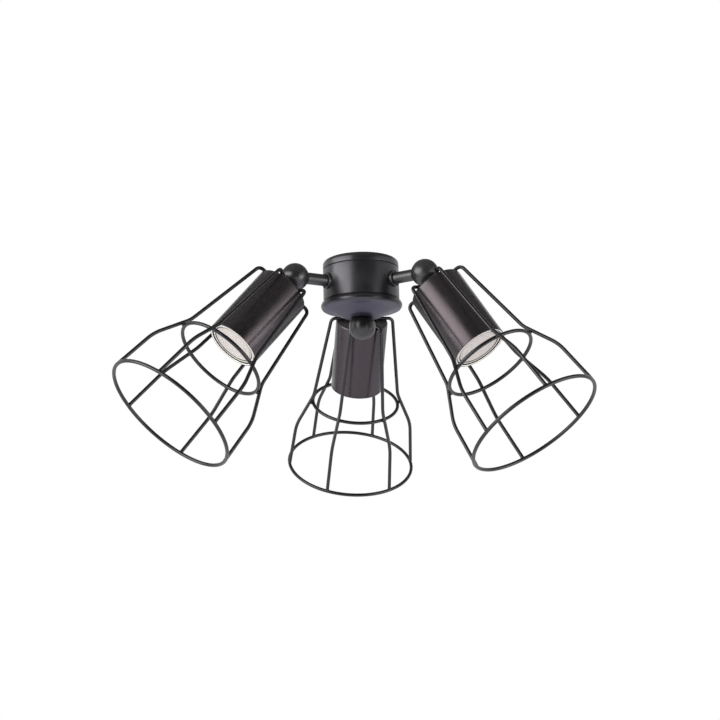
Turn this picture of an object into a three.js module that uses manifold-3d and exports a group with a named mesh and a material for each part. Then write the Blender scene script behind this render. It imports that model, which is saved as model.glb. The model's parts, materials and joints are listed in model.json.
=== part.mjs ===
// A light kit that hangs under a ceiling fan: a round hub on the fan's switch housing, three short arms
// with slotted ball swivels, and on each swivel a lamp cup inside a cage of welded wire.
// Millimetres, +Z up. The origin is the centre of the hub's top face, which meets the fan.

import * as THREE from 'three';
import { mergeVertices } from 'three/addons/utils/BufferGeometryUtils.js';
import Module from 'manifold-3d';

const wasm = await Module();
wasm.setup();

// Clearances and mesh detail
const gap = 0.3;             // between two pieces that touch or turn in each other
const turningGap = 0.4;      // between the knuckle and the ball that it turns in
const overrun = 1;           // how far a cutter reaches past what it cuts
const hubSegments = 36;
const cupSegments = 28;
const ballSegments = 18;
const smallSegments = 12;
const wireSides = 6;
const ringSides = 8;
const hexSides = 6;

// Hub: cap, drum and dish, one above the other
const hubRadius = 38.2;
const hubWall = 1.5;
const seamWidth = 0.6;       // dark line between two of the hub's covers
const capHeight = 9.2;       // top face to the middle of the upper seam
const capEdgeRadius = 4.5;
const capEdgeSteps = 4;
const recessRadius = 13;     // sunk middle of the cap, which keeps the stem's nut below the top face
const recessDepth = 5;
const recessSlope = 2;
const registerDepth = 4;     // rim of the cap and of the dish that centres the drum
const drumHeight = 33.8;     // middle of the upper seam to the middle of the lower one
const lipOverhang = 2.3;     // the dish's rounded lip stands out past the drum
const dishDepth = 16.2;
const screwHoleRadius = 2.3;
const screwCircleRadius = 28;
const screwCount = 3;
const wireHoleRadius = 6;
const wireHoleFromAxis = 23;

// Outline of the dish below its top edge, as shares of the lip's radius and of the dish's depth
const dishOutlineShares = [
  [0.953, 0.055], [0.983, 0.12], [1, 0.225], [0.992, 0.3], [0.965, 0.35], [0.925, 0.38],
  [0.775, 0.515], [0.612, 0.715], [0.465, 0.898], [0.375, 0.964], [0.3, 1],
];

// Stem, nuts and finial in the middle of the hub
const stemRadius = 4.8;
const stemBore = 3;
const stemTopDrop = 1.2;     // the stem ends this far below the top face
const stemThreadInFinial = 8;
const stemNutRadius = 8.1;
const stemNutHeight = 3.5;
const finialRadius = 13.3;
const finialDrop = 9;        // underside of the dish to the middle of the finial
const finialRings = 8;

// Terminal block and wiring inside the hub
const blockHeight = 11;
const blockClearance = 1;    // from the sunk middle of the cap to the block
const blockWidthShare = 0.65;     // of the room between the cap's sunk middle and its rim
const blockLengthShare = 0.67;    // of the chord that its far face cuts in the hub
const terminalSpacingShare = 0.46;    // of the block's length
const terminalRadiusShare = 0.18;     // of the block's width
const terminalDepth = 6;
const leadRadius = 2.5;
const spliceRadius = 6.5;
const spliceLength = 15;
const spliceFromAxis = 16;
const spliceTopDrop = 36;
const leadReach = 31.5;      // where a lead ends inside its arm
const leadSteps = 12;
const leadStraight = 8;
const leadAside = 14;
const leadAsideBack = 8;
const leadSag = 3.2;

// Arms: a tube with a flange on the drum and a threaded end inside it
const armAzimuths = [210, 330, 90];
const armDrop = 24.5;        // top face to the axis of the arms
const armRadius = 5.9;
const armBore = 2.9;
const armThreadRadius = 4.9;
const armThreadStart = 28.5;
const armFlangeRadius = 8.25;
const armFlange = 2.2;
const armNutRadius = 8;
const armNutHeight = 4;
const ballFromAxis = 74;     // hub's axis to the middle of a ball

// Ball swivel: a hollow ball that turns in the arm, and a knuckle that tilts in the ball's slot
const ballRadius = 13.75;
const ballWall = 2.35;
const pivotRadius = 3.7;     // spigot of the ball, which turns in the arm's end
const pivotLength = 10;
const pivotBore = 2.2;
const neckRadius = 4;        // stem of the knuckle, which carries the head
const neckBore = 2.5;
const neckReach = 33;        // middle of the ball to the end of the neck
const tiltDown = 8;          // smallest and largest lean of a head, from straight down outwards, in degrees
const tiltOut = 85;

// Lean of each head, turn of its ball about the arm, and turn of its cage about its own axis, in degrees
const headTilts = [41.8, 33.5, 39.2];
const ballTurns = [-1.6, 2.3, 8.3];
const cageTurns = [-9.2, 12.2, -15.5];

// Cup, measured along the head's axis from the middle of the ball
const cupTop = 20;
const cupMouth = 100;
const cupWall = 1;
const cupShoulder = 2.5;
const cupShoulderSteps = 3;
const lampRoom = 1.3;        // between the lamp and the cup's wall
const neckNutRadius = 7.5;
const neckNutHeight = 4.5;

// Cage of six bent wires, a collar and two rings
const wireRadius = 1.8;
const wireCount = 6;
const collarRadius = 10;
const crownRoom = 3.4;       // between the cup and the wires that turn down beside it
const crownBend = 5.4;
const waistAt = 109.8;
const waistRadius = 45.8;
const waistBend = 20;
const shoulderAt = 146;
const shoulderRadius = 62.8;
const shoulderBend = 24;
const mouthRingAt = 195.3;
const mouthRingRadius = 67.5;
const midRingAt = 119.2;
const bendSteps = 4;
const mouthRingSegments = 48;
const midRingSegments = 32;

// Lampholder and lamp with a two-pin twist-lock base
const holderRoom = 1.2;      // between the neck's nut and the lampholder
const holderLength = 18;
const holderRadius = 14.5;
const lampTurn = 20;         // degrees from locked to free
const pinCircleRadius = 5;
const pinRadius = 1.5;
const pinHeadRadius = 2.4;
const pinHeadLength = 2;
const pinLength = 6;
const holderFrontPlate = 2;
const lampInset = 1;         // from the cup's mouth to the lamp's face
const lampRadius = 25;
const lampRim = 5;
const lampNeckRadius = 11.5;
const lampNeck = 14;
const lampFlare = 60;        // degrees that the bell's curve turns through above the neck
const lampFlareSteps = 4;
const lampLensRecess = 0.8;
const lampLensRadius = 23;

// Finishes
const finish = (color, roughness, metalness) => (
  new THREE.MeshStandardMaterial({ color, roughness, metalness }));
const bronzePaint = finish(0x383336, 0.42, 0.35);
const wirePaint = finish(0x2b2a2c, 0.45, 0.3);
const zincSteel = finish(0xb4b6ba, 0.35, 0.9);
const blackPlastic = finish(0x1c1c1e, 0.55, 0);
const leadSleeve = finish(0xd9d5cb, 0.6, 0);
const steatite = finish(0xe7e1d5, 0.5, 0);
const lampWhite = finish(0xf3efe6, 0.4, 0);

const degrees = THREE.MathUtils.degToRad;
const at = (x, y) => new THREE.Vector2(x, y);

// Solids

function solid(geometry) {
  geometry.deleteAttribute('normal');
  geometry.deleteAttribute('uv');
  const merged = mergeVertices(geometry);
  const corners = merged.index.array;
  const faces = [];
  for (let i = 0; i < corners.length; i += 3) {
    const [a, b, c] = corners.slice(i, i + 3);
    if (a !== b && b !== c && c !== a) faces.push(a, b, c);
  }
  return new wasm.Manifold(new wasm.Mesh({
    numProp: 3,
    vertProperties: new Float32Array(merged.attributes.position.array),
    triVerts: new Uint32Array(faces),
  }));
}

function piece(name, body, material) {
  const shape = body.getMesh();
  const geometry = new THREE.BufferGeometry();
  geometry.setAttribute('position', new THREE.BufferAttribute(shape.vertProperties, shape.numProp));
  geometry.setIndex(new THREE.BufferAttribute(shape.triVerts, 1));
  const mesh = new THREE.Mesh(geometry, material);
  mesh.name = name;
  return mesh;
}

// A turned solid about Z. The outline runs counter-clockwise as pairs of radius and height.
function turned(outline, segments) {
  const geometry = new THREE.LatheGeometry(outline.map(([r, z]) => at(r, z)), segments);
  return solid(geometry.rotateX(Math.PI / 2));
}

// A turned solid with a hole through its middle
function turnedRing(outline, segments) {
  return turned([...outline, outline[0]], segments);
}

// A straight round bar on Z from one height to another
function bar(radius, low, high, segments) {
  return turned([[0, low], [radius, low], [radius, high], [0, high]], segments);
}

function ball(radius, segments) {
  return solid(new THREE.SphereGeometry(radius, segments, segments / 2).rotateX(Math.PI / 2));
}

function hexNut(cornerRadius, bore, low, high) {
  const hole = bar(bore, low - overrun, high + overrun, smallSegments);
  return bar(cornerRadius, low, high, hexSides).subtract(hole);
}

// Points of an arc about a centre, from one angle to another in degrees
function arc([cx, cy], radius, from, to, steps) {
  const points = [];
  for (let i = 0; i <= steps; i += 1) {
    const angle = degrees(from + (to - from) * i / steps);
    points.push([cx + radius * Math.cos(angle), cy + radius * Math.sin(angle)]);
  }
  return points;
}

// A path through the given stations, one step of the extrusion to each
class StationPath extends THREE.Curve {
  constructor(stations) {
    super();
    this.stations = stations;
  }

  getPoint(share, target = new THREE.Vector3()) {
    const last = this.stations.length - 1;
    const place = Math.min(Math.max(share, 0), 1) * last;
    const index = Math.min(Math.floor(place), last - 1);
    return target.lerpVectors(this.stations[index], this.stations[index + 1], place - index);
  }

  getPointAt(share, target) {
    return this.getPoint(share, target);
  }

  getTangentAt(share, target = new THREE.Vector3()) {
    const last = this.stations.length - 1;
    const index = Math.round(share * last);
    const before = this.stations[Math.max(index - 1, 0)];
    const after = this.stations[Math.min(index + 1, last)];
    return target.subVectors(after, before).normalize();
  }
}

function rod(stations, radius, sides) {
  const section = new THREE.Shape();
  section.setFromPoints(arc([0, 0], radius, 0, 360, sides).slice(0, sides).map(([x, y]) => at(x, y)));
  const path = new StationPath(stations);
  const settings = { steps: stations.length - 1, extrudePath: path, bevelEnabled: false };
  return solid(new THREE.ExtrudeGeometry(section, settings));
}

// Corner points with each inner corner rounded by an arc of its own bend radius
function rounded(corners, bends) {
  const stations = [corners[0]];
  for (let i = 1; i < corners.length - 1; i += 1) {
    const corner = corners[i];
    const back = corners[i - 1].clone().sub(corner).normalize();
    const on = corners[i + 1].clone().sub(corner).normalize();
    const half = back.angleTo(on) / 2;
    const middle = back.clone().add(on).normalize();
    const centre = corner.clone().addScaledVector(middle, bends[i - 1] / Math.sin(half));
    const start = corner.clone().addScaledVector(back, bends[i - 1] / Math.tan(half)).sub(centre);
    const end = corner.clone().addScaledVector(on, bends[i - 1] / Math.tan(half)).sub(centre);
    const turn = start.angleTo(end);
    for (let k = 0; k <= bendSteps; k += 1) {
      const share = k / bendSteps;
      const point = start.clone().multiplyScalar(Math.sin((1 - share) * turn))
        .addScaledVector(end, Math.sin(share * turn));
      stations.push(point.divideScalar(Math.sin(turn)).add(centre));
    }
  }
  stations.push(corners[corners.length - 1]);
  return stations;
}

// Hub

const seamHalf = seamWidth / 2;
const drumTop = -capHeight - seamHalf;
const drumFoot = -capHeight - drumHeight + seamHalf;
const dishTop = drumFoot - seamWidth;
const dishFoot = dishTop - dishDepth;
const drumBore = hubRadius - hubWall;
const registerRadius = drumBore - gap;
const registerBore = registerRadius - hubWall;
const lipRadius = hubRadius + lipOverhang;
const stemHole = stemRadius + gap;

function topCap() {
  const skirtFoot = drumTop + seamWidth;
  const innerEdge = capEdgeRadius - hubWall;
  const outline = [
    [stemHole, -recessDepth - hubWall],
    [recessRadius + hubWall, -recessDepth - hubWall],
    [recessRadius + recessSlope + hubWall, -hubWall],
    ...arc([registerBore - innerEdge, -capEdgeRadius], innerEdge, 90, 0, capEdgeSteps),
    [registerBore, skirtFoot - registerDepth],
    [registerRadius, skirtFoot - registerDepth],
    [registerRadius, skirtFoot],
    [hubRadius, skirtFoot],
    ...arc([hubRadius - capEdgeRadius, -capEdgeRadius], capEdgeRadius, 0, 90, capEdgeSteps),
    [recessRadius + recessSlope, 0],
    [recessRadius, -recessDepth],
    [stemHole, -recessDepth],
  ];
  let body = turnedRing(outline, hubSegments);
  for (let i = 0; i < screwCount; i += 1) {
    const angle = degrees(armAzimuths[i] + 180);
    const hole = bar(screwHoleRadius, -hubWall - overrun, overrun, smallSegments);
    body = body.subtract(hole.translate([
      screwCircleRadius * Math.cos(angle), screwCircleRadius * Math.sin(angle), 0]));
  }
  const wireHole = bar(wireHoleRadius, -hubWall - overrun, overrun, smallSegments);
  return body.subtract(wireHole.translate([wireHoleFromAxis, 0, 0]));
}

function drum() {
  const outline = [[drumBore, drumFoot], [hubRadius, drumFoot], [hubRadius, drumTop], [drumBore, drumTop]];
  let body = turnedRing(outline, hubSegments);
  for (const azimuth of armAzimuths) {
    const hole = bar(armThreadRadius + gap, registerBore, hubRadius + overrun, smallSegments);
    body = body.subtract(hole.rotate([0, 90, azimuth]).translate([0, 0, -armDrop]));
  }
  return body;
}

function bottomDish() {
  const outer = dishOutlineShares.map(([r, down]) => [r * lipRadius, dishTop - down * dishDepth]);
  const innerDepth = dishDepth - hubWall;
  const inner = dishOutlineShares.slice(2).map(([r, down]) => [
    r * (lipRadius - hubWall), Math.min(dishTop - hubWall, dishTop - down * innerDepth)]);
  const outline = [
    [stemHole, dishFoot],
    ...outer.reverse(),
    [hubRadius, dishTop],
    [registerRadius, dishTop],
    [registerRadius, dishTop + registerDepth],
    [registerBore, dishTop + registerDepth],
    [registerBore, dishTop - hubWall],
    ...inner,
    [stemHole, dishFoot + hubWall],
  ];
  return turnedRing(outline, hubSegments);
}

const finialMiddle = dishFoot - finialDrop;
const finialTop = dishFoot - gap;
const stemFoot = finialTop - stemThreadInFinial;

function finial() {
  const topAngle = THREE.MathUtils.radToDeg(Math.asin((finialTop - finialMiddle) / finialRadius));
  const outline = [
    ...arc([0, finialMiddle], finialRadius, -90, topAngle, finialRings),
    [stemHole, finialTop],
    [stemHole, stemFoot - gap],
    [0, stemFoot - gap],
  ];
  outline[0][0] = 0;
  return turned(outline, ballSegments);
}

function centerStem() {
  const top = -stemTopDrop;
  const outline = [[stemBore, stemFoot], [stemRadius, stemFoot], [stemRadius, top], [stemBore, top]];
  return turnedRing(outline, smallSegments);
}

function upperStemNut() {
  const foot = -recessDepth + gap;
  return hexNut(stemNutRadius, stemHole, foot, foot + stemNutHeight);
}

function lowerStemNut() {
  const top = -recessDepth - hubWall - gap;
  return hexNut(stemNutRadius, stemHole, top - stemNutHeight, top);
}

function terminalBlock() {
  const nearFace = recessRadius + recessSlope + hubWall + blockClearance;
  const width = (registerBore - nearFace) * blockWidthShare;
  const length = 2 * Math.sqrt(registerBore ** 2 - (nearFace + width) ** 2) * blockLengthShare;
  const top = -hubWall - gap;
  const foot = top - blockHeight;
  const wellRadius = width * terminalRadiusShare;
  const block = solid(new THREE.BoxGeometry(length, width, blockHeight));
  let body = block.translate([0, 0, top - blockHeight / 2]);
  for (const side of [-1, 1]) {
    const x = side * length * terminalSpacingShare / 2;
    const screwWell = bar(wellRadius, foot - overrun, foot + terminalDepth, smallSegments);
    const wireWell = bar(wellRadius, -overrun, terminalDepth, smallSegments);
    body = body.subtract(screwWell.translate([x, 0, 0]));
    body = body.subtract(wireWell.rotate([-90, 0, 0]).translate([x, -width / 2, top - blockHeight / 2]));
  }
  return body.translate([0, nearFace + width / 2, 0]);
}

// Three leads that run from the arms into one splice cap beside the stem. Those of the two front arms
// pass the stem on their own side.
function wiringHarness() {
  const splice = new THREE.Vector3(0, spliceFromAxis, -spliceTopDrop);
  let body = bar(spliceRadius, -spliceLength, 0, smallSegments).translate(splice.toArray());
  for (const azimuth of armAzimuths) {
    const out = new THREE.Vector3(Math.cos(degrees(azimuth)), Math.sin(degrees(azimuth)), 0);
    const side = Math.sign(Math.round(out.x));
    const entry = out.clone().multiplyScalar(leadReach).setZ(-armDrop);
    const straight = out.clone().multiplyScalar(leadReach - leadStraight).setZ(-armDrop);
    const besideStem = new THREE.Vector3(side * leadAside, leadAsideBack, -armDrop - leadSag);
    const aboveSplice = splice.clone().add(new THREE.Vector3(side * leadRadius, 0, leadSag));
    const inSplice = aboveSplice.clone().setZ(-spliceTopDrop - spliceLength / 2);
    const past = side ? [besideStem] : [];
    const route = new THREE.CatmullRomCurve3([entry, straight, ...past, aboveSplice, inSplice]);
    body = body.add(rod(route.getSpacedPoints(leadSteps), leadRadius, wireSides));
  }
  return body;
}

// Arms, built along X from the hub's axis

const ballFace = ballRadius + gap;
const alongX = (body) => body.rotate([0, 90, 0]);

function armTube() {
  const flangeOutside = hubRadius + gap + armFlange;
  const pocketStart = ballFromAxis - ballFace - pivotLength;
  const pocketRadius = pivotRadius + gap;
  const sleeve = turned([
    [0, drumBore], [armFlangeRadius, drumBore], [armFlangeRadius, flangeOutside],
    [armRadius, flangeOutside], [armRadius, ballFromAxis], [0, ballFromAxis]], ballSegments);
  const faceHalf = armFlangeRadius + overrun;
  const drumFace = bar(hubRadius + gap, -faceHalf, faceHalf, hubSegments * 2);
  const thread = bar(armThreadRadius, armThreadStart, flangeOutside, smallSegments);
  const bore = bar(armBore, armThreadStart - overrun, ballFromAxis, smallSegments);
  const pocket = bar(pocketRadius, pocketStart, ballFromAxis, smallSegments);
  return alongX(sleeve).subtract(drumFace).add(alongX(thread))
    .subtract(alongX(bore)).subtract(alongX(pocket))
    .subtract(ball(ballFace, ballSegments * 2).translate([ballFromAxis, 0, 0]));
}

function armNut() {
  const cornerReach = Math.sqrt(registerBore ** 2 - armNutRadius ** 2);
  return alongX(hexNut(armNutRadius, armThreadRadius + gap, cornerReach - armNutHeight, cornerReach));
}

// Ball swivel, about the middle of the ball. The arm is on its -X side and the head hangs down its -Z.

function swivelBall() {
  const innerRadius = ballRadius - ballWall;
  const slotHalf = neckRadius + turningGap;
  const reach = ballRadius + overrun;
  const sector = new THREE.Shape();
  const sweep = arc([0, 0], reach, tiltDown - 90, tiltOut - 90, smallSegments);
  sector.setFromPoints([[0, 0], ...sweep].map(([x, y]) => at(x, y)));
  const settings = { depth: 2 * slotHalf, bevelEnabled: false };
  const slab = solid(new THREE.ExtrudeGeometry(sector, settings)).rotate([90, 0, 0]);
  const slotEnd = (tilt) => bar(slotHalf, -reach, 0, smallSegments).rotate([0, -tilt, 0]);
  const spigotEnd = ballFace + pivotLength - gap;
  const spigot = bar(pivotRadius, innerRadius, spigotEnd, smallSegments).rotate([0, -90, 0]);
  const bore = bar(pivotBore, 0, ballFace + pivotLength, smallSegments).rotate([0, -90, 0]);
  return ball(ballRadius, ballSegments).add(spigot)
    .subtract(ball(innerRadius, ballSegments))
    .subtract(slab.translate([0, slotHalf, 0]))
    .subtract(slotEnd(tiltDown)).subtract(slotEnd(tiltOut))
    .subtract(bore);
}

// Head, about the middle of the ball, with its axis down -Z

function knuckle() {
  const innerBall = ballRadius - ballWall - turningGap;
  const neck = bar(neckRadius, -neckReach, 0, smallSegments);
  const bore = bar(neckBore, -neckReach - overrun, innerBall + overrun, smallSegments);
  return ball(innerBall, ballSegments).add(neck).subtract(bore);
}

const neckHole = neckRadius + gap;
const cupRadius = lampRadius + lampRoom + cupWall;

function cup() {
  const bend = [cupRadius - cupShoulder, -cupTop - cupShoulder];
  const outline = [
    [cupRadius - cupWall, -cupMouth],
    [cupRadius, -cupMouth],
    ...arc(bend, cupShoulder, 0, 90, cupShoulderSteps),
    [neckHole, -cupTop],
    [neckHole, -cupTop - cupWall],
    ...arc(bend, cupShoulder - cupWall, 90, 0, cupShoulderSteps),
  ];
  return turnedRing(outline, cupSegments);
}

const neckNutTop = cupTop + cupWall + gap;

function neckNut() {
  return hexNut(neckNutRadius, neckHole, -neckNutTop - neckNutHeight, -neckNutTop);
}

// Cage

const wireAt = cupTop - wireRadius - gap;
const crownRadius = cupRadius + crownRoom + wireRadius;

function cageCollar() {
  const top = -wireAt + wireRadius;
  const foot = -wireAt - wireRadius;
  const outline = [[neckHole, foot], [collarRadius, foot], [collarRadius, top], [neckHole, top]];
  return turnedRing(outline, ballSegments);
}

function cageWire() {
  const corners = [
    [collarRadius + gap, wireAt], [crownRadius, wireAt], [waistRadius, waistAt],
    [shoulderRadius, shoulderAt], [mouthRingRadius, mouthRingAt - wireRadius - gap],
  ];
  const path = rounded(corners.map(([r, down]) => new THREE.Vector3(r, 0, -down)),
    [crownBend, waistBend, shoulderBend]);
  return rod(path, wireRadius, wireSides);
}

// The wires pass outside the middle ring, so its radius follows from their slope there
const waistSlope = (shoulderRadius - waistRadius) / (shoulderAt - waistAt);
const wireRadiusAtMidRing = waistRadius + (midRingAt - waistAt) * waistSlope;
const midRingRadius = wireRadiusAtMidRing - (2 * wireRadius + gap) * Math.hypot(1, waistSlope);

function ring(radius, down, segments) {
  return solid(new THREE.TorusGeometry(radius, wireRadius, ringSides, segments)).translate([0, 0, -down]);
}

// Lampholder and lamp

const holderTop = neckNutTop + neckNutHeight + holderRoom;
const holderFront = holderTop + holderLength;

function arcSlot(radius, half, from, to, low, high) {
  const start = degrees(from);
  const end = degrees(to);
  const [startX, startY] = [radius * Math.cos(start), radius * Math.sin(start)];
  const [endX, endY] = [radius * Math.cos(end), radius * Math.sin(end)];
  const slot = new THREE.Shape();
  slot.absarc(0, 0, radius + half, start, end, false);
  slot.absarc(endX, endY, half, end, end + Math.PI, false);
  slot.absarc(0, 0, radius - half, end, start, true);
  slot.absarc(startX, startY, half, start + Math.PI, start + 2 * Math.PI, false);
  const settings = { depth: high - low, bevelEnabled: false, curveSegments: smallSegments / 4 };
  return solid(new THREE.ExtrudeGeometry(slot, settings)).translate([0, 0, low]);
}

function lampholder() {
  const neckWell = bar(neckHole, -neckReach - gap, -holderTop + overrun, smallSegments);
  let body = bar(holderRadius, -holderFront, -holderTop, ballSegments).subtract(neckWell);
  const headHalf = pinHeadRadius + gap;
  const neckHalf = pinRadius + gap;
  const outside = -holderFront - overrun;
  const pocketFoot = -holderFront + holderFrontPlate;
  const pocketTop = -holderFront + pinLength + gap;
  const pinEntry = bar(headHalf, outside, pocketFoot + overrun, smallSegments);
  for (const turn of [0, 180]) {
    const free = turn - lampTurn;
    const head = arcSlot(pinCircleRadius, headHalf, free, turn, pocketFoot, pocketTop);
    const neck = arcSlot(pinCircleRadius, neckHalf, free, turn, outside, pocketFoot + overrun);
    body = body.subtract(head).subtract(neck)
      .subtract(pinEntry.translate([pinCircleRadius, 0, 0]).rotate([0, 0, free]));
  }
  return body;
}

function lamp() {
  const base = -holderFront - gap;
  const face = -cupMouth + lampInset;
  const body = turned([
    [0, face + lampLensRecess], [lampLensRadius, face + lampLensRecess], [lampLensRadius, face],
    [lampRadius, face], [lampRadius, face + lampRim],
    ...arc([lampRadius, base - lampNeck], lampRadius - lampNeckRadius, 180 + lampFlare, 180, lampFlareSteps),
    [lampNeckRadius, base], [0, base]], ballSegments);
  const headFoot = -holderFront + pinLength - pinHeadLength;
  const pin = bar(pinRadius, base - overrun, headFoot + overrun, smallSegments / 2)
    .add(bar(pinHeadRadius, headFoot, headFoot + pinHeadLength, smallSegments / 2));
  return body.add(pin.translate([pinCircleRadius, 0, 0])).add(pin.translate([-pinCircleRadius, 0, 0]));
}

// Assembly

const kit = new THREE.Group();
kit.add(
  piece('top_cap', topCap(), bronzePaint),
  piece('drum', drum(), bronzePaint),
  piece('bottom_dish', bottomDish(), bronzePaint),
  piece('finial', finial(), bronzePaint),
  piece('center_stem', centerStem(), zincSteel),
  piece('stem_nut_upper', upperStemNut(), zincSteel),
  piece('stem_nut_lower', lowerStemNut(), zincSteel),
  piece('terminal_block', terminalBlock(), blackPlastic),
  piece('wiring_harness', wiringHarness(), leadSleeve),
);

const numbered = armAzimuths.map((azimuth, i) => ({ azimuth, i, n: i + 1 }));
for (const { azimuth, i, n } of numbered) {
  const arm = new THREE.Group();
  arm.rotation.z = degrees(azimuth);
  arm.position.z = -armDrop;
  arm.add(piece(`arm_tube_${n}`, armTube(), bronzePaint), piece(`arm_nut_${n}`, armNut(), zincSteel));

  const swivel = new THREE.Group();
  swivel.position.x = ballFromAxis;
  swivel.rotation.x = degrees(ballTurns[i]);
  swivel.add(piece(`swivel_ball_${n}`, swivelBall(), bronzePaint));

  const head = new THREE.Group();
  head.rotation.y = degrees(-headTilts[i]);
  head.add(
    piece(`knuckle_${n}`, knuckle(), bronzePaint),
    piece(`neck_nut_${n}`, neckNut(), zincSteel),
    piece(`cup_${n}`, cup(), bronzePaint),
    piece(`lampholder_${n}`, lampholder(), steatite),
    piece(`lamp_${n}`, lamp(), lampWhite),
  );

  const cage = new THREE.Group();
  cage.rotation.z = degrees(cageTurns[i]);
  cage.add(
    piece(`cage_collar_${n}`, cageCollar(), wirePaint),
    piece(`cage_mid_ring_${n}`, ring(midRingRadius, midRingAt, midRingSegments), wirePaint),
    piece(`cage_mouth_ring_${n}`, ring(mouthRingRadius, mouthRingAt, mouthRingSegments), wirePaint),
  );
  for (let k = 0; k < wireCount; k += 1) {
    const wire = piece(`cage_wire_${n}_${k + 1}`, cageWire(), wirePaint);
    wire.rotation.z = degrees(360 * k / wireCount);
    cage.add(wire);
  }

  head.add(cage);
  swivel.add(head);
  arm.add(swivel);
  kit.add(arm);
}

export default kit;
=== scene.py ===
# %% [markdown]
# # A ceiling fan's light kit
# The CAD model fixes every size and every hinge. This file dresses it: each visible piece is turned, bent
# or cut again with finer curves, and gets a finish.

# %% Load the frame
import json
import math

import bmesh
import bpy
from mathutils import Matrix, Vector


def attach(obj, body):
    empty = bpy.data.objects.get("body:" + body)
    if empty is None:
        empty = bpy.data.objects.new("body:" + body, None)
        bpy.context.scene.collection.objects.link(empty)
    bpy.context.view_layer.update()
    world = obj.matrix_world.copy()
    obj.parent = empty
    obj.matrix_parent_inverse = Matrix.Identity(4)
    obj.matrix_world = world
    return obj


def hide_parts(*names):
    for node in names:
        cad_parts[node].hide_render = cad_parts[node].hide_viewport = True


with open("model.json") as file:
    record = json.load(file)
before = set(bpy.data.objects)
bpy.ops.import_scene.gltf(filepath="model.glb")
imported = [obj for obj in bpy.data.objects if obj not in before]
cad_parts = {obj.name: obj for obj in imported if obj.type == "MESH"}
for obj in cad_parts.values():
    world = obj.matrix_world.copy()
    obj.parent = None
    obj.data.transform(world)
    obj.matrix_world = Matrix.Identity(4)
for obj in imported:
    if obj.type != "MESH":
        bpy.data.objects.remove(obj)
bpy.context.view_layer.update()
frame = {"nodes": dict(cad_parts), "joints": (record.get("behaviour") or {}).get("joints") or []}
print("CAD nodes:", len(frame["nodes"]))

# %% [markdown]
# ## Where the pieces go
# Each arm of the real kit points its own way, and each head hangs at its own angle from its swivel. A piece
# is easiest to draw upright at the origin and to place afterwards. The places could be typed in, but the
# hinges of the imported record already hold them: the arm's axis, the swivel's tilt axis and the lamp's own
# axis give each head's directions. The studio's sizes are in metres.

# %% Frames of the arms, swivels and heads
MM = 0.001
ARM_DROP = 24.5
UP = Vector((0, 0, 1))
hinges = {joint["name"]: joint for joint in frame["joints"]}


def axes(x, y, z, place):
    turn = Matrix((x, y, z)).transposed().to_4x4()
    return Matrix.Translation(place) @ turn


def hinge_axis(name):
    return Vector(hinges[name]["axis"]).normalized()


arms, swivels, heads = {}, {}, {}
for n in (1, 2, 3):
    middle = Vector(hinges[f"head_turn_{n}"]["pos_m"])
    out = hinge_axis(f"head_turn_{n}")
    across = -hinge_axis(f"head_tilt_{n}")
    back = -hinge_axis(f"lamp_twist_{n}")
    arms[n] = axes(out, UP.cross(out), UP, (0, 0, -ARM_DROP * MM))
    swivels[n] = axes(out, across, out.cross(across), middle)
    heads[n] = axes(across.cross(back), across, back, middle)
    print(f"head {n} leans", round(math.degrees(back.angle(UP)), 1), "degrees from straight down")

# %% [markdown]
# ## Turned outlines
# So most pieces start as half a cross-section and are spun about their axis. A Screw modifier could do that
# too, but the operator leaves a finished mesh that can be cut and painted face by face. Each corner carries
# its own radius, because a real edge is never sharp: the small arcs catch the thin highlights that make
# metal look like metal.


# %% Outline with rounded corners
def outline(corners, steps=5):
    # A corner is a radius from the axis, a height and, where it is rounded, the radius of its bend.
    points = []
    count = len(corners)
    for i, (r, z, *radius) in enumerate(corners):
        corner = Vector((r, z))
        if not radius:
            points.append(corner)
            continue
        before = (Vector(corners[i - 1][:2]) - corner).normalized()
        after = (Vector(corners[(i + 1) % count][:2]) - corner).normalized()
        half = before.angle(after) / 2
        centre = corner + (before + after).normalized() * radius[0] / math.sin(half)
        start = corner + before * radius[0] / math.tan(half) - centre
        end = corner + after * radius[0] / math.tan(half) - centre
        for k in range(steps + 1):
            points.append(centre + start.slerp(end, k / steps) * radius[0])
    return points


print("a rounded corner has", len(outline([(0, 0), (10, 0, 2), (10, 10)])) - 2, "points")

# %% [markdown]
# ## From outline to piece
# The spun mesh gets its double points merged and its normals turned outwards. Its place goes into the mesh,
# so that the object itself stays at the origin. Faces are shaded smooth, and edges that are bent more than
# 32 degrees stay crisp.

# %% Spin, finish and smooth
SAME_POINT = 0.002
CRISP = 32


def smooth(piece, place=Matrix(), sharp=CRISP):
    piece.data.transform(place)
    piece.data.shade_smooth()
    piece.data.set_sharp_from_angle(angle=math.radians(sharp))
    return piece


def finished(name, bm, place=Matrix(), sharp=CRISP):
    bmesh.ops.remove_doubles(bm, verts=bm.verts, dist=SAME_POINT * MM)
    bmesh.ops.recalc_face_normals(bm, faces=bm.faces)
    mesh = bpy.data.meshes.new(name)
    bm.to_mesh(mesh)
    bm.free()
    piece = bpy.data.objects.new(name, mesh)
    bpy.context.scene.collection.objects.link(piece)
    return smooth(piece, place, sharp)


def spun(name, corners, segments=96, closed=True, place=Matrix(), steps=5):
    bm = bmesh.new()
    ring = [bm.verts.new((x * MM, 0, z * MM)) for x, z in outline(corners, steps)]
    edges = [bm.edges.new(pair) for pair in zip(ring, ring[1:])]
    if closed:
        edges.append(bm.edges.new((ring[-1], ring[0])))
    bmesh.ops.spin(bm, geom=ring + edges, cent=(0, 0, 0), axis=(0, 0, 1), angle=2 * math.pi,
                   steps=segments, use_merge=True)
    return finished(name, bm, place)


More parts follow.
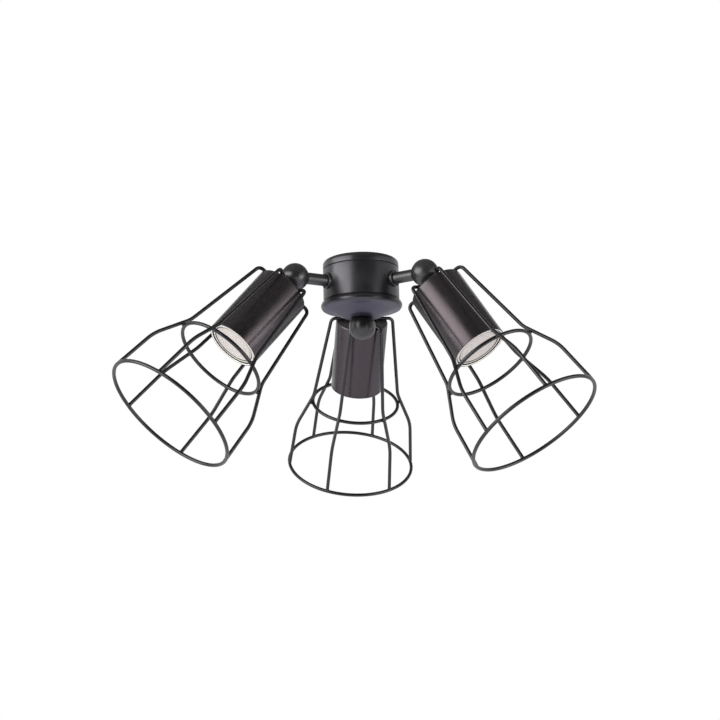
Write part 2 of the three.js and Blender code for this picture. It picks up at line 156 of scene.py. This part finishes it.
# %% [markdown]
# ## Cutting
# Holes, slots and seats are milled or drilled into the real pieces. Here a Boolean takes a tool's shape
# away in the same manner, and the tool is thrown away. The result is kept as a plain mesh.

# %% Cut with tools, and the commonest tool
def cut(piece, *tools):
    for tool in tools:
        step = piece.modifiers.new("cut", "BOOLEAN")
        step.object = tool
        step.solver = "EXACT"
    shapes = bpy.context.evaluated_depsgraph_get()
    mesh = bpy.data.meshes.new_from_object(piece.evaluated_get(shapes))
    piece.modifiers.clear()
    piece.data = mesh
    for tool in tools:
        bpy.data.objects.remove(tool)
    return smooth(piece)


def bar(radius, low, high, place=Matrix(), segments=48):
    corners = [(0, low), (radius, low), (radius, high), (0, high)]
    return spun("tool", corners, segments, closed=False, place=place)


def about_x(place=Matrix()):
    # What was turned about Z now lies along X, as an arm does.
    return place @ Matrix.Rotation(math.pi / 2, 4, "Y")


# %% [markdown]
# ## Colours and nodes
# Colours are written as on a paint card, in sRGB hex, and one function turns them to linear light. Another
# adds a node with its settings and its links, so that a material reads from top to bottom.

# %% Helpers for materials
def rgb(code):
    values = [int(code[i:i + 2], 16) / 255 for i in (0, 2, 4)]
    return [v / 12.92 if v <= 0.04045 else ((v + 0.055) / 1.055) ** 2.4 for v in values] + [1]


def add(material, kind, inputs=None, **settings):
    node = material.node_tree.nodes.new(kind)
    for name, value in settings.items():
        setattr(node, name, value)
    for name, value in (inputs or {}).items():
        if isinstance(value, bpy.types.NodeSocket):
            material.node_tree.links.new(value, node.inputs[name])
        else:
            node.inputs[name].default_value = value
    return node


def new_material(name):
    material = bpy.data.materials.new(name)
    material.use_nodes = True
    material.node_tree.nodes.clear()
    return material


# %% [markdown]
# ## A sprayed and baked coat
# Up close a baked paint isn't even. It has a fine orange peel with grains just under a millimetre, and its
# tone and gloss wander a little over a thumb's width. The peel is only hundredths of a millimetre high, so a
# bump in the shading is enough. Both come from noise on object coordinates, so they stay put when the view
# or the pose changes. Moulded, cast and plated surfaces vary in the same two ways and share this recipe.

# %% Coat with a patchy tone and a fine relief
def coated(name, dark, light, roughness, spread=0.06, grain=0.9, patch=18, relief=0.02, **shader):
    material = new_material(name)
    place = add(material, "ShaderNodeTexCoord").outputs["Object"]
    broad = add(material, "ShaderNodeTexNoise", {"Vector": place, "Scale": 1 / (patch * MM), "Detail": 3})
    fine = add(material, "ShaderNodeTexNoise", {"Vector": place, "Scale": 1 / (grain * MM), "Detail": 2})
    tone = add(material, "ShaderNodeMix", {"Factor": broad.outputs["Fac"]}, data_type="RGBA")
    ends = [s for s in tone.inputs if s.type == "RGBA"]
    ends[0].default_value, ends[1].default_value = rgb(dark), rgb(light)
    gloss = add(material, "ShaderNodeMapRange", {
        "Value": broad.outputs["Fac"], "From Min": 0.3, "From Max": 0.7,
        "To Min": roughness - spread, "To Max": roughness + spread})
    bump = add(material, "ShaderNodeBump", {
        "Height": fine.outputs["Fac"], "Strength": 1.0, "Distance": relief * MM})
    surface = add(material, "ShaderNodeBsdfPrincipled", {
        "Base Color": next(s for s in tone.outputs if s.type == "RGBA"),
        "Roughness": gloss.outputs["Result"], "Normal": bump.outputs["Normal"]})
    for socket, value in shader.items():
        surface.inputs[socket.replace("_", " ")].default_value = value
    add(material, "ShaderNodeOutputMaterial", {"Surface": surface.outputs["BSDF"]})
    return material


# %% [markdown]
# ## Black paints of the hub
# The covers and arms have a satin black paint, sprayed on steel and baked. It gives broad soft highlights
# with no sharp edge. Under the dish the same coat is painted lighter and violet: a painted reflection of the
# lit floor below. The finial's is a little deeper.

# %% Paints of the hub, arms and finial
hub_paint = coated("satin black paint on the hub", "121212", "171617", 0.34, Specular_Tint=rgb("fbf6ff"))
# Lighter and more violet than the hub's paint: a painted reflection of the lit floor under the dish.
dish_paint_with_painted_floor_light = coated("satin violet black paint under the dish", "1b1a22", "212029", 0.4,
                    Specular_Tint=rgb("e9e5ff"))
arm_paint = coated("satin black paint on the arms", "191919", "212121", 0.33)
finial_paint = coated("semi-gloss black paint", "0a0a09", "0e0e0d", 0.36, spread=0.03)
print("paints:", len(bpy.data.materials))


# %% Paint a piece and give it its body
def dress(piece, material, body, *nodes, slot="bronze_paint"):
    # The paint is added and nothing is cleared, because clearing would reset which face has which paint.
    piece.data.materials.append(material)
    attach(piece, body)
    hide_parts(*nodes)
    print(piece.name, "rides on", body, "with", len(piece.data.polygons), "faces")
    return piece


# %% [markdown]
# ## Cap
# Three sheet steel covers make the hub: a shallow cap that meets the fan, a drum that carries the arms, and
# a dish that closes it below. Fine dark seams part them. The cap is pressed: its rim is well rounded, its
# middle is set down for the stem, and a narrower skirt inside finds the drum. It is one spun outline, with
# a hole for the leads and three for screws.

# %% Cap
HUB = 38.2
WALL = 1.5
REGISTER = HUB - WALL - 0.3
STEM_HOLE = 5.1
CAP_FOOT = -8.9
SKIRT_FOOT = -12.9
PAN = -5
PAN_FLOOR, PAN_EDGE = 13, 15
LEAD_HOLE, LEAD_AT = 6, 23
SCREW_HOLE, SCREW_AT = 2.3, 28

cap = spun("hub_cap", [
    (STEM_HOLE, PAN, 0.2), (STEM_HOLE, PAN - WALL, 0.2), (PAN_FLOOR + WALL, PAN - WALL, 1),
    (PAN_EDGE + WALL, -WALL, 1), (REGISTER - WALL, -WALL, 3), (REGISTER - WALL, SKIRT_FOOT, 0.2),
    (REGISTER, SKIRT_FOOT, 0.2), (REGISTER, CAP_FOOT), (HUB, CAP_FOOT, 0.35), (HUB, 0, 4.5),
    (PAN_EDGE, 0, 0.8), (PAN_FLOOR, PAN, 0.8)], segments=128)
holes = [bar(LEAD_HOLE, -3, 1, Matrix.Translation((LEAD_AT * MM, 0, 0)))]
for angle in (30, 150, 270):
    turned = Matrix.Rotation(math.radians(angle), 4, "Z")
    holes.append(bar(SCREW_HOLE, -3, 1, turned @ Matrix.Translation((SCREW_AT * MM, 0, 0)), segments=32))
dress(cut(cap, *holes), hub_paint, "hub", "top_cap")

# %% [markdown]
# ## Drum
# The drum is a plain ring of the same sheet with three holes for the arms' threaded ends. Its edges are
# hardly rounded, so each seam reads as one thin dark line.

# %% Drum
DRUM_TOP = -9.5
DRUM_FOOT = -42.1
PORT = 5.2

drum = spun("hub_drum", [
    (HUB - WALL, DRUM_FOOT, 0.2), (HUB, DRUM_FOOT, 0.35), (HUB, DRUM_TOP, 0.35),
    (HUB - WALL, DRUM_TOP, 0.2)], segments=128)
ports = [bar(PORT, 32, 42, about_x(arms[n])) for n in arms]
dress(cut(drum, *ports), hub_paint, "hub", "drum")

# %% [markdown]
# ## Dish
# The dish closes the hub from below. It has a fat rounded lip that stands out from the drum, a shallow bowl
# that falls to a flat middle, and a narrower neck that finds the drum's inside. The first lines of the
# outline are its outside, from the stem's hole out to the seam, and the rest is the inside of the sheet.
# Everything below the lip gets the lighter violet paint, the painted reflection of the lit floor.

# %% Dish
DISH_TOP = -42.7
DISH_FOOT = -59.5
DISH_FLOOR = DISH_FOOT + WALL
NECK_TOP = -39.3
LIP_FOOT = -49.6

dish = spun("hub_dish", [
    (STEM_HOLE, DISH_FOOT, 0.2), (12.1, DISH_FOOT, 6), (18.8, -57.9, 10), (24.8, -54.9, 14),
    (31.4, -51.6, 14), (39.5, -49.8, 0.3), (40.7, -48.0, 1.2), (40.9, -46.0, 1.4), (39.9, -44.0, 1),
    (HUB, -43.1, 0.3), (HUB, DISH_TOP, 0.3),
    (REGISTER, DISH_TOP), (REGISTER, NECK_TOP, 0.2), (REGISTER - WALL, NECK_TOP, 0.2),
    (REGISTER - WALL, -44.4, 1), (38.8, -45.9, 0.8), (38, -48.9, 0.4), (30, -50.6, 8), (18, -56.4, 8),
    (12, DISH_FLOOR, 4), (STEM_HOLE, DISH_FLOOR, 0.2)], segments=128, steps=6)
# Faces below the lip's foot get the paint with the painted floor light.
for face in dish.data.polygons:
    face.material_index = 0 if face.center.z > LIP_FOOT * MM else 1
dress(dish, hub_paint, "hub", "bottom_dish")
dish.data.materials.append(dish_paint_with_painted_floor_light)

# %% [markdown]
# ## Finial
# The ball under the dish is a cap nut: it is screwed on the hub's stem and holds the covers together. It is
# a turned ball with a small flat where it meets the dish and a blind bore from above. A sphere with a cut
# would do as well, but as an outline it is one closed shape from the start.

# %% Finial
FINIAL = 13.3
FINIAL_BORE = 8.3
FINIAL_MIDDLE = DISH_FOOT - 9
FINIAL_TOP = DISH_FOOT - 0.3
ARC_STEPS = 48
top_angle = math.asin((FINIAL_TOP - FINIAL_MIDDLE) / FINIAL)
curve = [(0, FINIAL_MIDDLE - FINIAL)]
for k in range(1, ARC_STEPS + 1):
    angle = -math.pi / 2 + (top_angle + math.pi / 2) * k / ARC_STEPS
    curve.append((FINIAL * math.cos(angle), FINIAL_MIDDLE + FINIAL * math.sin(angle)))
bore = [(STEM_HOLE, FINIAL_TOP), (STEM_HOLE, FINIAL_TOP - FINIAL_BORE), (0, FINIAL_TOP - FINIAL_BORE)]
finial = spun("finial_ball", [*curve, *bore], closed=False)
dress(finial, finial_paint, "hub", "finial")

# %% [markdown]
# ## Arms
# An arm is a short tube with a threaded end in the drum and a shoulder that seats on it. Its outer end is
# hollowed like an egg cup where the swivel's ball turns. The shoulder's back follows the drum's curve, so a
# cylinder as wide as the drum cuts it, and that cylinder has a hole where the threaded end passes.

# %% Arms
ARM = 5.9
ARM_END = 63
ARM_START = 28.5
LEAD_BORE = 2.9
THREAD = 4.9
SHOULDER_FACE = 40.3
SOCKET = 14.05
PIVOT_BORE, PIVOT_STOP = 3.5, 49.95

for n, place in arms.items():
    tube = spun(f"arm_{n}", [
        (LEAD_BORE, ARM_START, 0.3), (THREAD, ARM_START, 0.5), (THREAD, 35), (8.25, 35),
        (8.25, SHOULDER_FACE, 0.7), (7.3, SHOULDER_FACE, 0.3), (6.9, 39.3, 0.3), (ARM, 39.3, 0.2),
        (ARM, ARM_END, 0.2), (PIVOT_BORE, ARM_END), (PIVOT_BORE, PIVOT_STOP), (LEAD_BORE, PIVOT_STOP)],
        segments=64, place=about_x(place))
    seat = bar(HUB + 0.3, -12, 12, place, segments=160)
    around_thread = bar(THREAD + 0.05, 28, 45, about_x(place))
    hollow_end = bmesh.new()
    bmesh.ops.create_uvsphere(hollow_end, u_segments=64, v_segments=32, radius=SOCKET * MM)
    socket = finished("tool", hollow_end, swivels[n])
    dress(cut(tube, cut(seat, around_thread), socket), arm_paint, "hub", f"arm_tube_{n}")

# %% [markdown]
# ## Ball swivels
# Each ball is hollow. Its spigot turns inside the arm's end, and a knuckle with the head's stem sits in the
# ball and leans in a slot. The slot is cut with the same wedge and round ends that a milling tool would
# leave: a flat fan of corners is pushed across the ball, and a bar stands at each end of the lean.

# %% Ball with its slot
BALL = 13.75
BALL_INSIDE = 11.4
SLOT = 4.4
SLOT_REACH = 15
LEAN_LEAST, LEAN_MOST = 8, 85
LEAN_STEPS = 16


def slot_wedge(place):
    wedge = bmesh.new()
    corners = [wedge.verts.new((0, -SLOT * MM, 0))]
    for k in range(LEAN_STEPS + 1):
        lean = math.radians(LEAN_LEAST + (LEAN_MOST - LEAN_LEAST) * k / LEAN_STEPS)
        x, z = SLOT_REACH * math.sin(lean), -SLOT_REACH * math.cos(lean)
        corners.append(wedge.verts.new((x * MM, -SLOT * MM, z * MM)))
    face = wedge.faces.new(corners)
    pushed = bmesh.ops.extrude_face_region(wedge, geom=[face])
    moved = [v for v in pushed["geom"] if isinstance(v, bmesh.types.BMVert)]
    bmesh.ops.translate(wedge, verts=moved, vec=(0, 2 * SLOT * MM, 0))
    return finished("tool", wedge, place)


for n, place in swivels.items():
    shell = bmesh.new()
    bmesh.ops.create_uvsphere(shell, u_segments=96, v_segments=48, radius=BALL * MM)
    ball = finished(f"swivel_{n}_ball", shell, place)
    spigot = spun(f"swivel_{n}_spigot", [(2.2, 11), (3.7, 11), (3.7, 23.75, 0.4), (2.2, 23.75)],
                  segments=48, place=about_x(place @ Matrix.Rotation(math.pi, 4, "Y")))
    hollow = bmesh.new()
    bmesh.ops.create_uvsphere(hollow, u_segments=64, v_segments=32, radius=BALL_INSIDE * MM)
    tools = [finished("tool", hollow, place), slot_wedge(place)]
    for lean in (LEAN_LEAST, LEAN_MOST):
        tools.append(bar(SLOT, -SLOT_REACH, 0, place @ Matrix.Rotation(-math.radians(lean), 4, "Y")))
    cut(ball, *tools)
    dress(ball, arm_paint, f"swivel_{n}", f"swivel_ball_{n}")
    dress(spigot, arm_paint, f"swivel_{n}")

# %% [markdown]
# ## Knuckles
# The knuckle is a ball on a stem, turned from one bar. The stem carries the wire cage and the cup, which a
# nut inside the cup clamps, and it is hollow for the leads.

# %% Knuckles
KNUCKLE = 11.0
KNUCKLE_BORE = 2.5
NECK = 4.0
STEM_END = -33
KNUCKLE_STEPS = 32

start = math.acos(KNUCKLE_BORE / KNUCKLE)
join = math.asin(NECK / KNUCKLE)
sweep = [start - (start + math.pi / 2 - join) * k / KNUCKLE_STEPS for k in range(KNUCKLE_STEPS + 1)]
round_part = [(KNUCKLE * math.cos(a), KNUCKLE * math.sin(a)) for a in sweep]
profile = [(KNUCKLE_BORE, STEM_END), *round_part, (NECK, STEM_END, 0.4)]
for n, place in heads.items():
    knuckle = spun(f"knuckle_look_{n}", profile, segments=64, place=place)
    dress(knuckle, arm_paint, f"head_{n}", f"knuckle_{n}")

# %% [markdown]
# ## Cups
# A cup is deep drawn from steel sheet: flat top, small rounded shoulder, straight wall. Its edge is rolled
# in to a small hem, and only that hem is white enamel. The rest has a bronze paint that is nearly black, so
# the colour shows in its highlights alone. A warm pink tint on the reflection gives that. A little sheen
# stands for the bloom that such a coat has at its edges.

# %% Cups, dark with a white edge
CUP = 27.3
PLATE = 1.0
CLAMP_HOLE = 4.3
CUP_TOP = -19.85
CUP_MOUTH = -100
HEM = 25.1

bronze = coated("satin bronze paint", "0f0f0f", "131212", 0.3, relief=0.045,
                Specular_Tint=rgb("ffecf4"), Sheen_Weight=0.06, Sheen_Roughness=0.4)
white_enamel = coated("white enamel on the cup's edge", "bcbaae", "c5c3b8", 0.35, relief=0.001)
for n, place in heads.items():
    cup = spun(f"cup_look_{n}", [
        (CLAMP_HOLE, CUP_TOP, 0.3), (CLAMP_HOLE, CUP_TOP - PLATE, 0.3), (CUP - PLATE, CUP_TOP - PLATE, 1.4),
        (CUP - PLATE, CUP_MOUTH + 1.7, 0.2), (HEM, CUP_MOUTH + 1.6, 0.5), (HEM, CUP_MOUTH, 0.6),
        (CUP - PLATE, CUP_MOUTH), (CUP, CUP_MOUTH, 0.4), (CUP, CUP_TOP, 2.4)], steps=6)
    for face in cup.data.polygons:
        rolled_in = face.center.xy.length < (CUP - 0.9 * PLATE) * MM
        face.material_index = 1 if rolled_in and face.center.z < (CUP_MOUTH + 0.4) * MM else 0
    cup.data.transform(place)
    dress(cup, bronze, f"head_{n}", f"cup_{n}")
    cup.data.materials.append(white_enamel)

# %% [markdown]
# ## Lamps
# Reflector lamps with a two-pin twist-lock base fill the cups. The housing is white moulded plastic. The
# face has a white bezel, a joint and a frosted lens with two fine moulded rings. The joint, and the lamp's
# side seen in the gap under the cup's hem, are painted grey as the shade that falls in them. Frosting
# scatters light inside the lens and leaves its face a little glossy, so the lens is drawn as a pale satin
# coat and not as clear plastic. One outline has all parts, and each face is given its finish by where it
# lies.

# %% Lamps
LAMP = 24.1
LAMP_BASE, BASE_TOP = 11.5, -45.1
FACE = -98.6
LENS_EDGE = 21.2
BEZEL_INSIDE = 22.4
JOINT_FLOOR = -97.9
BEZEL_FACE = -99
RING = 0.3

lamp_white = coated("white moulded lamp housing", "aba99e", "b4b2a7", 0.35, relief=0.001)
lens = coated("frosted lamp lens", "9c9790", "a5a098", 0.3, relief=0.001)
# Grey painted shade for the lamp's joint and for its side seen in the gap beside the hem.
joint_shade_grey = coated("grey painted shade in the lamp's joint and gap", "45433f", "504e4a", 0.45)
rings = [spot for r in (14, 19) for spot in ((r, FACE), (r + RING, FACE + RING), (r + 2 * RING, FACE))]
lamp_outline = [
    (0, FACE), *rings, (LENS_EDGE, FACE, 0.2), (LENS_EDGE + 0.1, JOINT_FLOOR, 0.1),
    (BEZEL_INSIDE - 0.1, JOINT_FLOOR, 0.1), (BEZEL_INSIDE, BEZEL_FACE, 0.3), (LAMP, BEZEL_FACE, 0.5),
    (LAMP, -94, 1), (18.3, -71, 10), (LAMP_BASE, -59.3, 10), (LAMP_BASE, BASE_TOP, 0.6), (0, BASE_TOP)]


def lamp_part(centre):
    across, down = centre.xy.length / MM, centre.z / MM
    joint = LENS_EDGE - 0.05 < across < BEZEL_INSIDE + 0.02
    behind_bezel = across > LAMP - 0.2 and down > FACE - 0.1
    # Faces in the joint and on the side behind the bezel take the grey painted shade.
    if down < -90 and (joint or behind_bezel):
        return 2
    return 1 if down < -98 and across < LENS_EDGE - 0.04 else 0


for n, place in heads.items():
    lamp = spun(f"lamp_look_{n}", lamp_outline, closed=False, steps=6)
    for face in lamp.data.polygons:
        face.material_index = lamp_part(face.center)
    lamp.data.transform(place)
    dress(lamp, lamp_white, f"lamp_body_{n}", f"lamp_{n}", slot="lamp_white")
    lamp.data.materials.append(lens)
    lamp.data.materials.append(joint_shade_grey)

# %% [markdown]
# ## Lamp pins
# Two zinc plated pins with a wider head stand on the lamp's base. Pushed into the lampholder's slots and
# turned, their heads lock behind the slots' edges. Zinc plate is a bright, slightly bluish grey metal.

# %% Lamp pins
PIN, PIN_HEAD, PIN_SPREAD = 1.5, 2.4, 5
HEAD_LOW, HEAD_HIGH = -40.8, -38.8

zinc = coated("zinc plated steel", "b9bbbe", "c9cacc", 0.3, Metallic=1.0)
pin_outline = [(0, -45.3), (PIN, -45.3), (PIN, HEAD_LOW), (PIN_HEAD, HEAD_LOW, 0.3),
               (PIN_HEAD, HEAD_HIGH, 0.3), (0, HEAD_HIGH)]
for n, place in heads.items():
    for k, side in ((1, -1), (2, 1)):
        beside = place @ Matrix.Translation((side * PIN_SPREAD * MM, 0, 0))
        pin = spun(f"lamp_pin_{n}_{k}", pin_outline, segments=24, closed=False, place=beside)
        dress(pin, zinc, f"lamp_body_{n}", slot="lamp_white")

# %% [markdown]
# ## Cage wire
# Six wires are bent alike and welded to a collar above the cup and to two rings: a middle ring inside them
# and a mouth ring at their ends. One bent line, turned five more times, gives all six. Here are its bends,
# and the middle ring's radius follows from where the leaning wire passes it.

# %% Bends of one wire
WIRE = 1.8
WIRE_TOP = -17.9
CROWN = 32.5
WAIST = (45.8, -109.8)
SHOULDER = (62.8, -146.0)
MOUTH = (67.4, -195.25)
MID_DOWN = -119.2
slope = (SHOULDER[0] - WAIST[0]) / (WAIST[1] - SHOULDER[1])
wire_at_mid = WAIST[0] + (WAIST[1] - MID_DOWN) * slope
MID = wire_at_mid - (2 * WIRE + 0.3) * math.hypot(1, slope)
bend = outline([(10.0, WIRE_TOP), (CROWN, WIRE_TOP, 5.4), (*WAIST, 30), (*SHOULDER, 48),
                (MOUTH[0], MOUTH[1] + WIRE - 0.3)], steps=10)
print("middle ring", round(MID, 1), "mm, mouth ring", MOUTH[0], "mm, each to the wire's middle")

# %% [markdown]
# ## Round wire from a line
# A tube could be skinned over each line by hand. A curve with a round bevel does that with even rings and
# closed ends, and is then turned to a mesh, so that wires, rings and weld beads join in one piece.


# %% Wire drawn along lines
def drawn(lines, closed=False):
    curve = bpy.data.curves.new("wire", "CURVE")
    curve.dimensions = "3D"
    curve.bevel_depth = WIRE * MM
    curve.bevel_resolution = 4
    curve.use_fill_caps = True
    for line in lines:
        spline = curve.splines.new("POLY")
        spline.points.add(len(line) - 1)
        for point, place in zip(spline.points, line):
            point.co = (*[c * MM for c in place], 1)
        spline.use_cyclic_u = closed
    holder = bpy.data.objects.new("wire", curve)
    bpy.context.scene.collection.objects.link(holder)
    shapes = bpy.context.evaluated_depsgraph_get()
    mesh = bpy.data.meshes.new_from_object(holder.evaluated_get(shapes))
    bpy.data.objects.remove(holder)
    return mesh


def circle(radius, down, points=120):
    turns = [math.tau * k / points for k in range(points)]
    return [(radius * math.cos(t), radius * math.sin(t), down) for t in turns]


# %% [markdown]
# ## Cages
# A small bead of weld sits at each joint: a flattened ball, longer along the ring than across it. The three
# cages are turned differently on their cups, as the real ones are. The paint on the wire is a deep satin
# black that reflects less than the hub's, so each wire shows one thin highlight.

# %% Cages
CAGE_TURNS = {1: -9.2, 2: 12.2, 3: -15.5}
BEAD = 1.9
BEAD_SHAPE = Matrix.Diagonal((0.8, 1.15, 0.9, 1))
around = [math.radians(60 * k) for k in range(6)]

wire_black = coated("satin black paint on wire", "090909", "0c0c0c", 0.29, Specular_IOR_Level=0.34)
for n, place in heads.items():
    turned = place @ Matrix.Rotation(math.radians(CAGE_TURNS[n]), 4, "Z")
    cage = bmesh.new()
    cage.from_mesh(drawn([[(x * math.cos(a), x * math.sin(a), z) for x, z in bend] for a in around]))
    cage.from_mesh(drawn([circle(MID, MID_DOWN)], closed=True))
    cage.from_mesh(drawn([circle(*MOUTH)], closed=True))
    for a in around:
        for radius, down in ((MID + BEAD, MID_DOWN), (MOUTH[0], MOUTH[1] + WIRE)):
            spot = Matrix.Rotation(a, 4, "Z") @ Matrix.Translation((radius * MM, 0, down * MM))
            bmesh.ops.create_icosphere(cage, subdivisions=3, radius=BEAD * MM, matrix=spot @ BEAD_SHAPE)
    piece = finished(f"cage_{n}", cage, turned, sharp=40)
    rods = [f"cage_wire_{n}_{k}" for k in range(1, 7)]
    dress(piece, wire_black, f"head_{n}", f"cage_mid_ring_{n}", f"cage_mouth_ring_{n}", *rods,
          slot="wire_paint")

# %% [markdown]
# ## Collars
# The six wires end at a flat collar, a thick washer that the knuckle's nut clamps on the cup's top.

# %% Collars
COLLAR = 10
for n, place in heads.items():
    turned = place @ Matrix.Rotation(math.radians(CAGE_TURNS[n]), 4, "Z")
    collar = spun(f"cage_washer_{n}", [
        (CLAMP_HOLE, WIRE_TOP - WIRE), (COLLAR, WIRE_TOP - WIRE, 0.5), (COLLAR, WIRE_TOP + WIRE, 0.6),
        (CLAMP_HOLE, WIRE_TOP + WIRE)], segments=48, place=turned)
    dress(collar, wire_black, f"head_{n}", f"cage_collar_{n}", slot="wire_paint")

# %% [markdown]
# ## Hidden pieces
# The stem, nuts, terminal block, leads and lampholders are good as the CAD model has them, so they only
# need their finish. Screws and nuts are zinc plated. The block is moulded plastic with a dull gloss, the
# leads have a soft pale sleeve, and the lampholders are steatite, a fired and unglazed cream ceramic.

# %% Finishes of the CAD nodes that stay
black_plastic = coated("black moulded plastic", "1b1b1d", "222224", 0.5)
sleeve = coated("pale lead sleeve", "d6d1c6", "e0dcd2", 0.6)
steatite = coated("unglazed steatite", "e2dbcd", "ece6da", 0.55)
own_finish = {"terminal": black_plastic, "wiring": sleeve, "lampholder": steatite}
for name, node in frame["nodes"].items():
    if node.hide_render:
        continue
    material = next((own_finish[word] for word in own_finish if name.startswith(word)), zinc)
    node.data.materials.clear()
    node.data.materials.append(material)
    print(name, "->", material.name)

# %% [markdown]
# ## Floor and cards
# The photograph is a plain packshot on white. Two cards, a dark room and a grey ceiling, are only seen in
# reflections: they give the paint something other than white to reflect, which leaves the middle of each
# round piece dark.


# %% Floor and cards
def plain(name, code, clear_back=False):
    material = new_material(name)
    surface = add(material, "ShaderNodeBsdfPrincipled", {"Base Color": rgb(code), "Roughness": 0.9})
    shown = surface.outputs["BSDF"]
    if clear_back:
        back_side = add(material, "ShaderNodeNewGeometry").outputs["Backfacing"]
        clear = add(material, "ShaderNodeBsdfTransparent").outputs["BSDF"]
        shown = add(material, "ShaderNodeMixShader", {0: back_side, 1: shown, 2: clear}).outputs["Shader"]
    add(material, "ShaderNodeOutputMaterial", {"Surface": shown})
    return material


def card(name, place, tilt, size, code):
    shape = bmesh.new()
    bmesh.ops.create_grid(shape, x_segments=1, y_segments=1, size=size)
    sheet = finished(name, shape, Matrix.Translation(place) @ Matrix.Rotation(tilt, 4, "X"))
    sheet.data.materials.append(plain(name, code))
    sheet.visible_camera = sheet.visible_shadow = sheet.visible_diffuse = False
    return sheet


FLOOR_AT = -0.75
floor_shape = bmesh.new()
bmesh.ops.create_circle(floor_shape, cap_ends=True, segments=128, radius=14)
floor = finished("floor", floor_shape, Matrix.Translation((0, 0, FLOOR_AT)))
floor.data.materials.append(plain("pale floor", "eae8ef", clear_back=True))
room = card("room behind the camera", (0, -2.6, 0.6), math.pi / 2, 3, "060606")
ceiling = card("studio ceiling", (0, -0.6, 1.3), 0, 2.3, "757472")
print("floor at", FLOOR_AT, "m, cards:", room.name, "and", ceiling.name)

# %% [markdown]
# ## White surroundings
# So the background stays white and adds no glare.

# %% World
world = bpy.data.worlds.new("studio")
bpy.context.scene.world = world
world.use_nodes = True
world.node_tree.nodes.clear()
rays = add(world, "ShaderNodeLightPath").outputs
seen = add(world, "ShaderNodeMath", {0: rays["Is Camera Ray"], 1: rays["Is Glossy Ray"]},
           operation="MAXIMUM")
seen_too = add(world, "ShaderNodeMath", {0: seen.outputs["Value"], 1: rays["Is Transmission Ray"]},
               operation="MAXIMUM")
dim = add(world, "ShaderNodeBackground", {"Color": rgb("ffffff"), "Strength": 0.9})
white = add(world, "ShaderNodeBackground", {"Color": rgb("ffffff"), "Strength": 1.0})
both = add(world, "ShaderNodeMixShader", {
    0: seen_too.outputs["Value"], 1: dim.outputs["Background"], 2: white.outputs["Background"]})
add(world, "ShaderNodeOutputWorld", {"Surface": both.outputs["Shader"]})
print("world:", world.name)

# %% [markdown]
# ## Lights
# Two large softboxes stand left and right and draw the long soft highlights on cups and hub. The left one
# is the stronger, as in the photograph. A weak wide light at the floor lifts the undersides.


# %% Lights
def soft_light(name, place, size, power, target=(0, 0, -0.1), tint="ffffff"):
    light = bpy.data.lights.new(name, "AREA")
    light.color = rgb(tint)[:3]
    light.shape = "RECTANGLE"
    light.size, light.size_y = size
    light.energy = power
    holder = bpy.data.objects.new(name, light)
    holder.location = place
    holder.rotation_mode = "QUATERNION"
    holder.rotation_quaternion = (Vector(target) - Vector(place)).to_track_quat("-Z", "Y")
    holder.visible_camera = False
    bpy.context.scene.collection.objects.link(holder)


soft_light("left softbox", (-1.4, -0.85, 0.15), (1.9, 1.3), 48)
soft_light("right softbox", (1.5, -0.7, -0.32), (1.6, 0.75), 20)
soft_light("light from the floor", (0, -0.3, -0.74), (2.4, 2.4), 7, (0, -0.3, 0), "f0ecff")
print("lights:", len(bpy.data.lights))

# %% [markdown]
# ## Camera
# The photograph was taken from below the hub with a long lens. Distance, height and lens come from matching
# the outlines of the rings, wires and hub with the photograph. Seen from the hub at the arms' height, the
# camera stands lower by the angle LOW. It looks up by AIM and a little to the side by SWING, and is rolled
# by ROLL. AROUND turns it all about the hub's axis. Half a pixel is added, because a picture's middle lies
# between two pixels.

# %% Camera
PICTURE_PX = 720
FOCUS_PX = 1651.8
HALF_PIXEL = 0.5 / FOCUS_PX
SENSOR = 36
DISTANCE = 1.6656
LOW = math.radians(15.12)
AIM = math.radians(15.12 - 2.63)
SWING = math.radians(-0.09)
ROLL = math.radians(-1.43)
AROUND = Matrix.Rotation(math.radians(1.46), 3, "Z")

spot = Vector((0, -DISTANCE * math.cos(LOW), -DISTANCE * math.sin(LOW)))
look = Vector((math.sin(SWING) * math.cos(AIM), math.cos(SWING) * math.cos(AIM), math.sin(AIM)))
right = look.cross(UP).normalized()
above = right.cross(look)
right, above = (math.cos(ROLL) * right + math.sin(ROLL) * above,
                math.cos(ROLL) * above - math.sin(ROLL) * right)
look = (look - right * HALF_PIXEL + above * HALF_PIXEL).normalized()
right = look.cross(above).normalized()
above = right.cross(look)

camera = bpy.data.objects.new("camera", bpy.data.cameras.new("camera"))
camera.data.sensor_width = SENSOR
camera.data.lens = SENSOR * FOCUS_PX / PICTURE_PX
camera.data.clip_start, camera.data.clip_end = 0.1, 20
camera.matrix_world = axes(AROUND @ right, AROUND @ above, AROUND @ -look,
                           AROUND @ spot + Vector((0, 0, -ARM_DROP * MM)))
bpy.context.scene.collection.objects.link(camera)
bpy.context.scene.camera = camera
bpy.context.scene.view_settings.view_transform = "Standard"
print("lens", round(camera.data.lens, 1), "mm")
